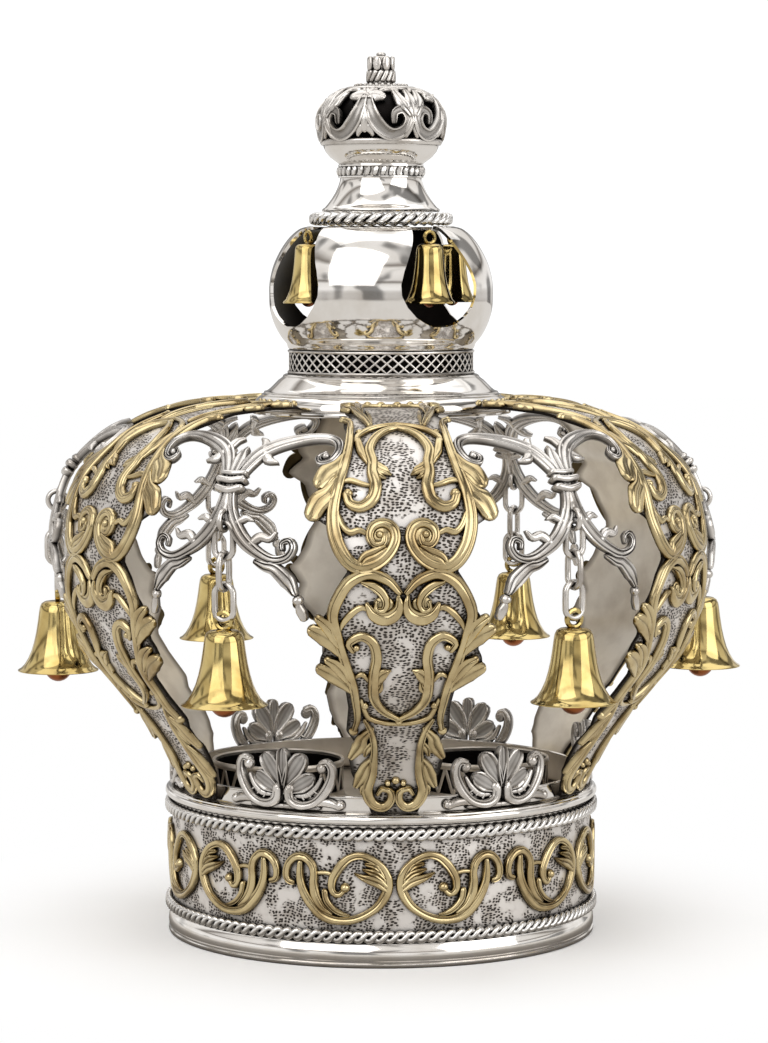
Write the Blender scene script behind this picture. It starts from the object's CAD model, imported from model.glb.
import math

import bpy
import numpy as np
from mathutils import Matrix, Vector


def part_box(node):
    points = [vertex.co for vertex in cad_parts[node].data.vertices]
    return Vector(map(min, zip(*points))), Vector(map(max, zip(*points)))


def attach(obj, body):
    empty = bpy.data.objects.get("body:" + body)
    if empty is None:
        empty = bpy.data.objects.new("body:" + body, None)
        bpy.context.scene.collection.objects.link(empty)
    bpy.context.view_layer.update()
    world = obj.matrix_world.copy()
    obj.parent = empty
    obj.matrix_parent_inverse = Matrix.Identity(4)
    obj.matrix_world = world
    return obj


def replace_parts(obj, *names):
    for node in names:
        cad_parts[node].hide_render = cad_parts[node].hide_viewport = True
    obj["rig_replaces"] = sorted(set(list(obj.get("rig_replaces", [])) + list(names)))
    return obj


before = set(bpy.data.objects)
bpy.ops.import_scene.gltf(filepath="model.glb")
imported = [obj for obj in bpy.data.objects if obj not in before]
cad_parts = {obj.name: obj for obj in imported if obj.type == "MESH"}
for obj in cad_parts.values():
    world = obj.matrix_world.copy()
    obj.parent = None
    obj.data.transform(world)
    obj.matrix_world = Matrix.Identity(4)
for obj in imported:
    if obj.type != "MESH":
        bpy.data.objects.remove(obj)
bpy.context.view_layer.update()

MM = 0.001
ARMS = 6
HALF_STEP = math.pi / ARMS  # from the middle of an arm to the middle of the gap beside it

# Sizes that several pieces share, in millimetres. The collar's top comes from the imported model.
BAND_RADIUS = 95.5
BAND_FOOT = 10.9
BAND_TOP = 60.9
COLLAR_HEIGHT = 7.0
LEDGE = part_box("base_ring")[1].z / MM - COLLAR_HEIGHT
ARM_FOOT = LEDGE + 0.3
DRAWN_LENGTH = 258.6  # of an arm, along its bend
HANG_RADIUS = 147.0  # of the chains and large bells
SLEEVE_REACH = 47.0  # from the axis to the middle of a roller sleeve
OPENINGS = 4  # in the globe, with a small bell in each
FIRST_OPENING = 30.0  # degrees round from the front
UV_UNIT = 100  # millimetres of a drawing in one unit of its UV map
CLOUDS_PER_METRE = 70.0  # a faint cloud of tarnish every 14 mm


# Finishes

def tint(code):
    """An sRGB hex colour as the linear colour that the shader takes."""
    parts = [int(code[place:place + 2], 16) / 255 for place in (1, 3, 5)]
    linear = [part / 12.92 if part <= 0.04045 else ((part + 0.055) / 1.055) ** 2.4 for part in parts]
    return (*linear, 1)


def add(tree, kind, settings=None, links=None):
    """A node of that kind with its settings. links gives each input a plain value or what feeds it."""
    node = tree.nodes.new(kind)
    for name, value in (settings or {}).items():
        setattr(node, name, value)
    for name, value in (links or {}).items():
        if isinstance(value, bpy.types.NodeSocket):
            tree.links.new(value, node.inputs[name])
        else:
            node.inputs[name].default_value = value
    return node


def blank(name):
    """A new material's node tree, holding only its output."""
    material = bpy.data.materials.new(name)
    material.use_nodes = True
    tree = material.node_tree
    tree.nodes.clear()
    return material, tree, add(tree, "ShaderNodeOutputMaterial")


def depth_of_shade(tree, reach_mm, open_share):
    """How deep in shade a place lies: its own hollow value, or how closely walls stand round it."""
    hollow = add(tree, "ShaderNodeAttribute", {"attribute_name": "hollow"})
    walls = add(tree, "ShaderNodeAmbientOcclusion", {"samples": 6}, {"Distance": reach_mm * MM})
    shut = add(tree, "ShaderNodeMapRange", None,
               {"Value": walls.outputs["AO"], "From Min": open_share, "From Max": 0.35})
    deeper = add(tree, "ShaderNodeMath", {"operation": "MAXIMUM"},
                 {0: hollow.outputs["Fac"], 1: shut.outputs["Result"]})
    return deeper.outputs["Value"]


def end_in_metal(tree, output, colour, roughness, relief, relief_mm):
    """The metal shader that each finish ends in, with its grain or pits as bump."""
    bump = add(tree, "ShaderNodeBump", None,
               {"Strength": 1.0, "Distance": relief_mm * MM, "Height": relief})
    shader = add(tree, "ShaderNodeBsdfPrincipled", None,
                 {"Base Color": colour, "Metallic": 1.0, "Roughness": roughness,
                  "Normal": bump.outputs["Normal"]})
    tree.links.new(shader.outputs["BSDF"], output.inputs["Surface"])


def worn_metal(name, bright, tarnish, recess, roughness, grain_mm, grain_height, shade_mm):
    """Metal that was blackened and wiped, so the black stays in hollows and the high places shine.

    roughness is that of the high places, then that of the hollows. shade_mm is how near the walls of
    a hollow have to stand for the black to stay.
    """
    material, tree, output = blank(name)
    place = add(tree, "ShaderNodeTexCoord").outputs["Object"]
    deep = depth_of_shade(tree, shade_mm, open_share=0.9)
    clouds = add(tree, "ShaderNodeTexNoise", None,
                 {"Vector": place, "Scale": CLOUDS_PER_METRE, "Detail": 4.0})
    cloudy = add(tree, "ShaderNodeMapRange", None,
                 {"Value": clouds.outputs["Fac"], "From Min": 0.42, "From Max": 0.72})
    skin = add(tree, "ShaderNodeMix", {"data_type": "RGBA"},
               {"Factor": cloudy.outputs["Result"], "A": tint(bright), "B": tint(tarnish)})
    colour = add(tree, "ShaderNodeMix", {"data_type": "RGBA"},
                 {"Factor": deep, "A": skin.outputs["Result"], "B": tint(recess)})
    grain = add(tree, "ShaderNodeTexNoise", None,
                {"Vector": place, "Scale": 1 / (grain_mm * MM), "Detail": 3.0})
    rough = add(tree, "ShaderNodeMapRange", None,
                {"Value": deep, "To Min": roughness[0], "To Max": roughness[1]})
    end_in_metal(tree, output, colour.outputs["Result"], rough.outputs["Result"],
                 grain.outputs["Fac"], grain_height)
    return material


def punched_silver(name, cell_mm, patch_mm, bare):
    """Silver sheet struck with a small punch in patches and blackened, so each mark is a dark pit.

    cell_mm is the room that a mark takes, patch_mm the size of a patch, and bare says how much of
    the sheet the punch has missed.
    """
    material, tree, output = blank(name)
    uv = add(tree, "ShaderNodeUVMap", {"uv_map": "flat"}).outputs["UV"]
    wander = add(tree, "ShaderNodeTexNoise", {"noise_dimensions": "2D"},
                 {"Vector": uv, "Scale": 6.0, "Detail": 1.0})
    drift = add(tree, "ShaderNodeVectorMath", {"operation": "MULTIPLY_ADD"},
                {0: wander.outputs["Color"], 1: (0.05, 0.05, 0.0), 2: uv})
    marks = add(tree, "ShaderNodeMapping", None,
                {"Vector": drift.outputs["Vector"], "Rotation": (0, 0, math.radians(8)),
                 "Scale": (UV_UNIT / (1.25 * cell_mm), UV_UNIT / (0.85 * cell_mm), 1)})
    cells = add(tree, "ShaderNodeTexVoronoi", {"voronoi_dimensions": "2D"},
                {"Vector": marks.outputs["Vector"], "Scale": 1.0, "Randomness": 0.62})
    pit = add(tree, "ShaderNodeMapRange", {"interpolation_type": "SMOOTHSTEP"},
              {"Value": cells.outputs["Distance"], "From Min": 0.41, "From Max": 0.27})
    patches = add(tree, "ShaderNodeTexNoise", {"noise_dimensions": "2D"},
                  {"Vector": uv, "Scale": UV_UNIT / patch_mm, "Detail": 2.0, "Roughness": 0.6})
    struck = add(tree, "ShaderNodeMapRange", {"interpolation_type": "SMOOTHSTEP"},
                 {"Value": patches.outputs["Fac"], "From Min": bare - 0.035, "From Max": bare + 0.035})
    marked = add(tree, "ShaderNodeMath", {"operation": "MULTIPLY"},
                 {0: pit.outputs["Result"], 1: struck.outputs["Result"]}).outputs["Value"]
    margin = depth_of_shade(tree, reach_mm=4.0, open_share=0.85)
    dark = add(tree, "ShaderNodeMath", {"operation": "MAXIMUM"}, {0: margin, 1: marked})
    haze = add(tree, "ShaderNodeMapRange", None,
               {"Value": patches.outputs["Fac"], "From Min": 0.35, "From Max": 0.7})
    skin = add(tree, "ShaderNodeMix", {"data_type": "RGBA"},
               {"Factor": haze.outputs["Result"], "A": tint("#EAE6E2"), "B": tint("#BEB7B0")})
    pitted = add(tree, "ShaderNodeMix", {"data_type": "RGBA"},
                 {"Factor": marked, "A": skin.outputs["Result"], "B": tint("#4A4541")})
    colour = add(tree, "ShaderNodeMix", {"data_type": "RGBA"},
                 {"Factor": margin, "A": pitted.outputs["Result"], "B": tint("#2C2824")})
    rough = add(tree, "ShaderNodeMapRange", None,
                {"Value": dark.outputs["Value"], "To Min": 0.44, "To Max": 0.6})
    sunk = add(tree, "ShaderNodeMath", {"operation": "SUBTRACT"}, {0: 1.0, 1: marked})
    end_in_metal(tree, output, colour.outputs["Result"], rough.outputs["Result"],
                 sunk.outputs["Value"], 0.3)
    return material


# Polished sterling silver, buffed to a mirror: clear reflections with only a breath of warmth.
polished_silver = worn_metal(
    "polished sterling silver", "#EEEBE7", "#E2DDD6", "#7A746D",
    roughness=(0.08, 0.3), grain_mm=2.5, grain_height=0.004, shade_mm=1.4)
# Cast sterling silver, blackened and wiped: bright ridges, soft grain and near-black hollows.
cast_silver = worn_metal(
    "oxidised cast silver", "#E4E0DB", "#ADA69E", "#26221F",
    roughness=(0.22, 0.5), grain_mm=0.5, grain_height=0.03, shade_mm=3.2)
# Twisted silver wire, blackened between the strands.
rope_silver = worn_metal(
    "oxidised twisted silver wire", "#F0EEEB", "#D4D0CB", "#2A2725",
    roughness=(0.16, 0.45), grain_mm=0.6, grain_height=0.01, shade_mm=2.4)
# Unpolished sheet silver inside the crown: a dull brownish grey with faint rolled clouds.
sheet_silver = worn_metal(
    "unpolished sheet silver", "#D3CCC2", "#BEB6AB", "#8A8176",
    roughness=(0.34, 0.5), grain_mm=1.5, grain_height=0.02, shade_mm=4.0)
# Brushed sheet silver of the arms' backs: lighter than the inside, with a soft sheen.
back_silver = worn_metal(
    "brushed sheet silver", "#EDE7DC", "#D6CEC2", "#8A8176",
    roughness=(0.3, 0.5), grain_mm=0.9, grain_height=0.02, shade_mm=3.0)
# Silver blackened on purpose, inside the globe and the bud: almost no shine.
black_silver = worn_metal(
    "blackened silver", "#1D1A19", "#141211", "#0A0909",
    roughness=(0.42, 0.6), grain_mm=1.2, grain_height=0.02, shade_mm=6.0)
# Cast and gilt silver: a pale gold with a soft shine, and brown shade left in the chasing.
gilt_silver = worn_metal(
    "fire gilt cast silver", "#D6C498", "#A28C64", "#2E220F",
    roughness=(0.13, 0.3), grain_mm=0.8, grain_height=0.02, shade_mm=3.0)
# Polished and lacquered brass of the spun bells: a yellow mirror.
bell_brass = worn_metal(
    "polished lacquered brass", "#CDB87C", "#A98F52", "#553E18",
    roughness=(0.1, 0.28), grain_mm=2.0, grain_height=0.003, shade_mm=1.4)
# Turned copper alloy of the clappers, brown and half dull.
clapper_copper = worn_metal(
    "brown copper alloy", "#9A5B34", "#7F4727", "#3A1F12",
    roughness=(0.28, 0.5), grain_mm=1.0, grain_height=0.01, shade_mm=3.0)
# Punched sheet silver of the arms: grey with marks over most of it, and bright plain patches.
punched_arm = punched_silver("closely punched silver sheet", cell_mm=1.5, patch_mm=11.0, bare=0.41)
# Punched sheet silver of the band: the marks stand in patches with plain silver between them.
punched_band = punched_silver("patchily punched silver sheet", cell_mm=1.4, patch_mm=9.0, bare=0.45)


# Shapes

def only(obj):
    """Selects this object alone and makes it the active one."""
    bpy.ops.object.select_all(action="DESELECT")
    obj.select_set(True)
    bpy.context.view_layer.objects.active = obj


def begun(operator, **sizes):
    """The object that a primitive's operator adds, with nothing else selected."""
    bpy.ops.object.select_all(action="DESELECT")
    operator(**sizes)
    return bpy.context.object


def clad(obj, *finishes):
    """The object with these materials, in the order of its slots."""
    for finish in finishes:
        obj.data.materials.append(finish)
    return obj


def settle(obj, name, sharp, node=None):
    """Names a finished piece, shades it smooth up to that angle and says which node it stands for."""
    obj.name = name
    obj.data.name = name
    only(obj)
    bpy.ops.object.shade_smooth_by_angle(angle=math.radians(sharp))
    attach(obj, "root")
    if node:
        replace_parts(obj, node)


def repeat(obj, node_base, count, first=0.0):
    """count of the piece round the axis, each with its own mesh, standing for its own node."""
    base = obj.name
    master = obj.data.copy()
    for index in range(count):
        piece = obj if index == 0 else obj.copy()
        piece.data = master.copy()
        piece.data.transform(Matrix.Rotation(first + index * math.tau / count, 4, "Z"))
        piece.name = f"{base}_{index + 1}"
        piece.data.name = piece.name
        if index:
            bpy.context.scene.collection.objects.link(piece)
            del piece["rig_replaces"]  # that of the first piece, which the copy came with
        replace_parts(piece, f"{node_base}_{index + 1}")
    bpy.data.meshes.remove(master)


def lathe(profile, steps=128, shut=False):
    """A profile of (radius, height) in millimetres turned round the axis, drawn point by point."""
    points = [(radius * MM, height * MM) for radius, height in profile]
    if shut:
        points.append(points[0])
    obj = begun(bpy.ops.mesh.primitive_plane_add, size=MM)
    bpy.ops.object.mode_set(mode="EDIT")
    bpy.ops.mesh.select_all(action="SELECT")
    bpy.ops.mesh.merge(type="CENTER")
    radius, height = points[0]
    bpy.ops.transform.translate(value=(0, -radius, height))
    for (near, low), (far, high) in zip(points, points[1:]):
        bpy.ops.mesh.extrude_region_move(
            TRANSFORM_OT_translate={"value": (0, near - far, high - low)})
    bpy.ops.mesh.select_all(action="SELECT")
    bpy.ops.mesh.spin(
        steps=steps, angle=math.tau, center=(0, 0, 0), axis=(0, 0, 1), dupli=False)
    bpy.ops.mesh.select_all(action="SELECT")
    bpy.ops.mesh.remove_doubles(threshold=0.002 * MM)
    bpy.ops.mesh.dissolve_degenerate(threshold=0.001 * MM)
    bpy.ops.mesh.select_all(action="SELECT")
    bpy.ops.mesh.normals_make_consistent(inside=False)
    bpy.ops.object.mode_set(mode="OBJECT")
    return obj


def wire_ring(radius, wire, place, turn, segments):
    """A ring bent from round wire, its place and sizes in millimetres. segments go round, then across."""
    ring = begun(bpy.ops.mesh.primitive_torus_add,
                 major_segments=segments[0], minor_segments=segments[1],
                 major_radius=radius * MM, minor_radius=wire / 2 * MM,
                 location=[value * MM for value in place], rotation=turn)
    bpy.ops.object.transform_apply(location=True, rotation=True, scale=True)
    return ring


def use(obj, kind, **settings):
    """Adds a modifier with its settings and applies it."""
    only(obj)
    modifier = obj.modifiers.new(kind.lower(), kind)
    for name, value in settings.items():
        setattr(modifier, name, value)
    bpy.ops.object.modifier_apply(modifier=modifier.name)


def joined(objects):
    """Several meshes as one object."""
    only(objects[0])
    for obj in objects:
        obj.select_set(True)
    bpy.ops.object.join()
    return bpy.context.object


def run_along(points):
    """How far along a line each of its points lies."""
    return np.concatenate([[0], np.cumsum(np.linalg.norm(np.diff(points, axis=0), axis=1))])


def smooth(points, count):
    """count + 1 points, evenly spaced along a smooth curve through the given ones."""
    points = np.array(points, float)
    ends = [2 * points[0] - points[1], *points, 2 * points[-1] - points[-2]]
    fine = []
    steps = 14  # between two of the given points
    t = (np.arange(steps) / steps)[:, None]
    for a, b, c, d in zip(ends, ends[1:], ends[2:], ends[3:]):
        fine.append(0.5 * (2 * b + (c - a) * t + (2 * a - 5 * b + 4 * c - d) * t**2
                           + (3 * b - a - 3 * c + d) * t**3))
    fine = np.vstack([*fine, points[-1:]])
    run = run_along(fine)
    wanted = np.linspace(0, run[-1], count + 1)
    return np.stack([np.interp(wanted, run, fine[:, k]) for k in range(fine.shape[1])], axis=1)


def bent_profile(points, count, length):
    """A smooth profile through the points: the drawn length at each step, the step and the way out."""
    path = smooth(points, count)
    ahead = np.gradient(path, axis=0)
    ahead /= np.linalg.norm(ahead, axis=1)[:, None]
    return np.linspace(0, length, count + 1), path, np.stack([ahead[:, 1], -ahead[:, 0]], axis=1)


def read_off(wanted, lengths, values):
    """Both columns of values at the wanted lengths."""
    return [np.interp(wanted, lengths, values[:, k]) for k in range(2)]


def around(turn, radius, z):
    """Points at that angle round the axis, radius and height."""
    return np.stack([radius * np.sin(turn), -radius * np.cos(turn), z], axis=1)


def mirrored(half):
    """A cross section whose left half, up to the middle, is given."""
    return half + [(-out, up, hollow) for out, up, hollow in half[-2::-1]]


# Cross sections of a cast stroke: share of the half width, share of the height, and how hollow.
RIB = mirrored([(-1, 0, 0.9), (-1, 0.3, 0.5), (-0.84, 0.7, 0.05), (-0.5, 0.93, 0), (0, 1, 0)])
CHASED = [(-1, 0, 0.9), (-1, 0.4, 0.4), (-0.88, 0.8, 0), (-0.55, 1, 0), (-0.1, 0.98, 0),
          (0.22, 0.9, 0.05), (0.36, 0.74, 0.5), (0.5, 0.84, 0.05), (0.74, 0.88, 0), (0.9, 0.7, 0.05),
          (1, 0.4, 0.4), (1, 0, 0.9)]
FLUTED = mirrored([(-1, 0, 0.9), (-1, 0.45, 0.4), (-0.86, 0.8, 0), (-0.66, 0.86, 0),
                   (-0.45, 0.64, 0.7), (-0.25, 0.86, 0.05), (0, 1, 0)])
PETAL = mirrored([(-1, 0, 0.9), (-1, 0.4, 0.4), (-0.82, 0.84, 0), (-0.46, 0.96, 0),
                  (-0.16, 0.84, 0.1), (0, 0.7, 0.45)])
CHANNEL = mirrored([(-1, 0, 0.9), (-1, 0.5, 0.4), (-0.88, 0.92, 0), (-0.66, 0.94, 0),
                    (-0.48, 0.5, 0.6), (0, 0.42, 0.4)])
LOBE = mirrored([(-1, 0, 0.9), (-1, 0.45, 0.5), (-0.86, 0.9, 0), (-0.7, 0.94, 0), (-0.5, 0.55, 0.6),
                 (-0.25, 0.62, 0.35), (0, 0.5, 0.6)])
# How far out each ring lies that rounds a stroke's end, and how wide it is, in half widths.
ROUND_END = [(out, math.sqrt(1.02 - out**2)) for out in (1.0, 0.85, 0.5)]
BALL_SIDES = 12
BALL_LEVELS = 6


class Casting:
    """Relief drawn flat in millimetres as (across, up, height), then bent into place in one piece.

    back is how deep an open casting's rear is, or 0 where the relief lies on a sheet. swell widens
    its strokes.
    """

    def __init__(self, back=0.0, swell=1.0):
        self.back = back
        self.swell = swell
        self.points = []
        self.faces = []
        self.hollow = []

    def rings(self, rings, hollow):
        """Faces between rings of points, with both ends closed."""
        start = len(self.points)
        size = len(rings[0])
        for ring in rings:
            self.points.extend(ring)
            self.hollow.extend(hollow)
        for row in range(len(rings) - 1):
            for place in range(size):
                here = start + row * size + place
                there = start + row * size + (place + 1) % size
                self.faces.append((here, there, there + size, here + size))
        self.faces.append(tuple(range(start + size - 1, start - 1, -1)))
        last = start + (len(rings) - 1) * size
        self.faces.append(tuple(range(last, last + size)))

    def stroke(self, points, widths, height, section=CHASED, sides=(1, -1), pitch=1.1, lift=0.0):
        """A scroll stroke and its mirror image, with round ends."""
        count = max(6, int(run_along(points)[-1] / pitch))
        path = smooth(points, count)
        along = np.gradient(path, axis=0)
        along /= np.maximum(np.linalg.norm(along, axis=1), 1e-9)[:, None]
        share = np.linspace(0, 1, count + 1)
        half = np.interp(share, np.linspace(0, 1, len(widths)), widths) * self.swell
        rows = [(path[0] - along[0] * half[0] * out, along[0], half[0] * wide) for out, wide in ROUND_END]
        rows += list(zip(path, along, half))
        rows += [(path[-1] + along[-1] * half[-1] * out, along[-1], half[-1] * wide)
                 for out, wide in ROUND_END[::-1]]
        for side in sides:
            front = section[::side]
            rear = section[1:-1][::-side] if self.back else []
            rings = []
            for middle, ahead, width in rows:
                across = np.array((-ahead[1], ahead[0]))
                rise = height * (0.35 + 0.65 * min(1.0, width / 1.6))  # a thin place is also low
                ring = []
                for face, reach in ((front, rise), (rear, -self.back)):
                    for out, up, _ in face:
                        spot = middle + across * width * out
                        ring.append((side * spot[0], spot[1], lift + up * reach))
                rings.append(ring)
            self.rings(rings, [hollow for _, _, hollow in front + rear])

    def ball(self, centre, radius, height, sides=(1, -1), squeeze=1.0, lift=0.0):
        """A round boss and its mirror image."""
        for side in sides:
            rings = []
            for level in range(BALL_LEVELS):
                turn = level / (BALL_LEVELS - 1) * math.pi / 2
                size = max(math.cos(turn), 0.03) * radius
                spokes = [math.tau * k / BALL_SIDES * side for k in range(BALL_SIDES)]
                rings.append([
                    (side * (centre[0] + size * math.cos(spoke)),
                     centre[1] + size * squeeze * math.sin(spoke), lift + height * math.sin(turn))
                    for spoke in spokes])
            foot = len(self.points)
            if self.back:
                rings.insert(0, [(x, y, lift - self.back * 0.8) for x, y, _ in rings[2]])
                foot += BALL_SIDES
            self.rings(rings, [0.0] * BALL_SIDES)
            self.hollow[foot:foot + BALL_SIDES] = [0.9] * BALL_SIDES

    def leaf(self, spine, widths, height, section=PETAL, sides=(1, -1), lift=0.0):
        """A leaf and its mirror image, a quarter wider than the widths along its spine."""
        self.stroke(spine, [1.25 * width for width in widths], height, section, sides, 0.9, lift)

    def placed(self, place=lambda points: points):
        """The object, with each flat point moved to its place by the given function."""
        mesh = bpy.data.meshes.new("casting")
        mesh.from_pydata(place(np.array(self.points, float)) * MM, [], self.faces)
        shade = mesh.attributes.new("hollow", "FLOAT", "POINT")
        shade.data.foreach_set("value", np.array(self.hollow, float))
        obj = bpy.data.objects.new("casting", mesh)
        bpy.context.scene.collection.objects.link(obj)
        only(obj)
        bpy.ops.object.mode_set(mode="EDIT")
        bpy.ops.mesh.select_all(action="SELECT")
        bpy.ops.mesh.normals_make_consistent(inside=False)
        bpy.ops.object.mode_set(mode="OBJECT")
        return obj


class Dome:
    """The surface that the arms and brackets lie on, as drawn: u round it and v up it."""

    def __init__(self):
        foot, bulge, end, rise = 94.4, 149.0, 54.5, 173.1
        below = [(0, 0), (0.066, 0.053), (0.194, 0.122), (0.396, 0.211), (0.597, 0.289),
                 (0.799, 0.370), (0.918, 0.463), (0.982, 0.555), (1, 0.645)]
        above = [(0.968, 0.734), (0.915, 0.815), (0.820, 0.879), (0.683, 0.936),
                 (0.481, 0.977), (0.238, 0.997), (0, 1)]
        points = [(foot + (bulge - foot) * out, ARM_FOOT + rise * up) for out, up in below]
        points += [(end + (bulge - end) * out, ARM_FOOT + rise * up) for out, up in above]
        self.v, self.path, self.normal = bent_profile(points, 240, DRAWN_LENGTH)

    def place(self, flat):
        """Flat points (u, v, relief) in their place. Past either end the dome runs on straight."""
        u, v, rise = flat.T
        inside = np.clip(v, 0, DRAWN_LENGTH)
        radius, z = read_off(inside, self.v, self.path)
        out, up = read_off(inside, self.v, self.normal)
        beyond = v - inside
        radius = radius + out * rise + beyond * -up
        z = z + up * rise + beyond * out
        return around(u / np.maximum(radius, 20), radius, z)


def on_cylinder(radius):
    """Places a flat drawing of (round, height, relief) on an upright cylinder."""
    def place(flat):
        s, z, rise = flat.T
        return around(s / radius, radius + rise, z)
    return place


def flat_map(obj, flatten):
    """Writes each corner's drawn place to the UV map that the punches follow."""
    mesh = obj.data
    layer = mesh.uv_layers.new(name="flat")
    spots = np.array([flatten(vertex.co / MM) for vertex in mesh.vertices])
    corner = np.zeros(len(mesh.loops), int)
    mesh.loops.foreach_get("vertex_index", corner)
    values = spots[corner]
    wrap = spots[:, 0].max() - spots[:, 0].min()
    for face in mesh.polygons:
        own = values[face.loop_start:face.loop_start + face.loop_total]
        if own[:, 0].max() - own[:, 0].min() > wrap / 2:
            own[own[:, 0] < 0, 0] += wrap
    layer.data.foreach_set("uv", (values / UV_UNIT).ravel())


dome = Dome()


# The ring at the foot

def make_base_ring():
    """The ring body: rolled foot, plain band wall, cornice and the collar behind the shells."""
    foot = [
        (96.6, 0), (97.2, 0.35), (97.4, 1.0), (97.3, 1.7), (96.7, 2.2), (96.7, 2.7), (97.2, 3.4),
        (97.35, 5.0), (97.2, 6.8), (96.7, 8.4), (96.0, 9.7), (95.9, 10.4)]
    wall = [(BAND_RADIUS, height) for height in np.linspace(BAND_FOOT, BAND_TOP, 9)]
    cornice = [
        (96.2, 61.1), (96.4, 61.9), (97.2, 62.2), (98.1, 62.9), (98.55, 63.9), (98.55, 64.9),
        (98.1, 65.7), (97.3, 66.1), (97.2, 66.6), (96.6, 67.0), (95.6, 67.2)]
    collar = [
        (93.0, 67.2), (92.7, 67.5), (92.6, 70), (92.6, 73.2), (92.95, 73.5), (92.95, 73.9),
        (92.5, 74.2), (91.6, 74.2), (91.2, 73.9), (91.2, 62.0), (92.0, 60.4), (94, 59.4), (94, 0)]
    ring = lathe(foot + wall + cornice + collar, 192, shut=True)
    clad(ring, polished_silver, punched_band, sheet_silver)
    inside_radius, inside_top = 94.6, 73.0
    for face in ring.data.polygons:
        centre = face.center / MM
        radius = math.hypot(centre.x, centre.y)
        if radius > BAND_RADIUS - 0.3 and BAND_FOOT < centre.z < BAND_TOP:
            face.material_index = 1
        elif (radius < inside_radius and centre.z < inside_top
              and face.normal.xy.dot(centre.xy) < 0.1):
            face.material_index = 2
    flat_map(ring, lambda co: (math.atan2(co.x, -co.y) * BAND_RADIUS, co.z))
    settle(ring, "base_ring_body", 30, "base_ring")


def twisted(node, radius, height, turns, tall, deep, thick, steps, wires=2, sides=6):
    """A rope of twisted wires laid round the axis.

    The wires' middles wander by tall and deep round the rope's own. thick is a wire's radius, and
    steps is how many rings of points one turn has.
    """
    count = turns * steps
    rope = Casting()
    for wire in range(wires):
        start = len(rope.points)
        for step in range(count):
            angle = math.tau * step / count
            twist = math.tau * (turns * step / count + wire / wires)
            out = radius + math.cos(twist) * deep
            up = height + math.sin(twist) * tall
            ahead = Vector((-math.sin(twist) * deep * turns, radius,
                            math.cos(twist) * tall * turns)).normalized()
            side = ahead.cross(Vector((1, 0, 0))).normalized()
            other = side.cross(ahead).normalized()
            for k in range(sides):
                spoke = side * math.cos(math.tau * k / sides) + other * math.sin(math.tau * k / sides)
                reach = out + spoke.x * thick
                turn = angle + spoke.y * thick / radius
                rope.points.append(
                    (reach * math.sin(turn), -reach * math.cos(turn), up + spoke.z * thick))
        rope.hollow += [0.0] * (count * sides)
        for step in range(count):
            here, there = (start + place % count * sides for place in (step, step + 1))
            for k in range(sides):
                after = (k + 1) % sides
                rope.faces.append((here + k, here + after, there + after, there + k))
    settle(clad(rope.placed(), rope_silver), f"{node}_wire", 80, node)


def make_band_scrolls():
    """The gilt scrolls on the band, a mirrored pair below each arm."""
    art = Casting()
    art.stroke(
        [(21.6, 34.2), (24.1, 31.9), (26.6, 33.4), (26.9, 37.8), (24.9, 42), (22.4, 45.3), (18.8, 48.2),
         (14.3, 49), (9.4, 47.2), (5.4, 43.8), (3.1, 39.4), (2.9, 35.3), (4.2, 31.3), (7.3, 26.9),
         (11.8, 23.6), (16.7, 21.4), (21.6, 20.6), (26.9, 21), (31.4, 22.9), (35.5, 26.7),
         (38.8, 31.1), (40.8, 35.9), (41.4, 40.5), (41.2, 45)],
        (1.2, 1.6, 1.9, 2.0, 2.1, 1.9, 1.7, 1.7, 1.8, 2.0, 2.2, 2.3, 2.0, 1.8,
         1.8, 1.9, 2.0, 2.3, 2.6, 2.5, 2.2, 2.0, 1.7, 1.4), 2.2)
    art.ball((21.4, 34.9), 2.3, 2.8)
    art.stroke(
        [(27.4, 23.6), (31.6, 26.8), (34.2, 31.4), (35.1, 36.5), (34.9, 40), (35.3, 42.9), (36.9, 45.8),
         (40, 47.9), (43.7, 47.4), (46.7, 44.4), (47.9, 40.4), (47.1, 37.2), (44.9, 36.3)],
        (0.9, 1.8, 2.2, 2.3, 2.0, 1.8, 1.8, 1.9, 1.9, 1.8, 1.7, 1.6, 1.3), 2.3)
    art.stroke([(30.1, 33), (29.3, 29.2), (26.4, 25.6), (22.8, 23.6), (19.6, 22.9)],
               (1.5, 1.5, 1.4, 1.2, 0.5), 2.4)
    art.stroke([(27.2, 40.6), (30.4, 41.2), (33.4, 41)], (1.0, 1.0, 1.0), 1.8, RIB)
    art.leaf([(3.4, 34.6), (6.8, 37.2), (10.8, 38.7), (14.4, 39.9), (17.2, 41.3)],
             (1.4, 1.9, 1.8, 1.2, 0.3), 2.3)
    art.leaf([(4.0, 38), (7.4, 41), (10.8, 42.3), (13.4, 43)], (0.9, 1.4, 1.3, 0.5), 2.5)
    art.leaf([(5.0, 41.4), (8.2, 44.5), (12, 45.4)], (0.8, 1.3, 0.8), 2.2)
    scroll = clad(art.placed(on_cylinder(BAND_RADIUS + 0.15)), gilt_silver)
    settle(scroll, "band_gilt", 50)
    repeat(scroll, "band_scroll", ARMS)


# Arms, and what stands or hangs between them

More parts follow.
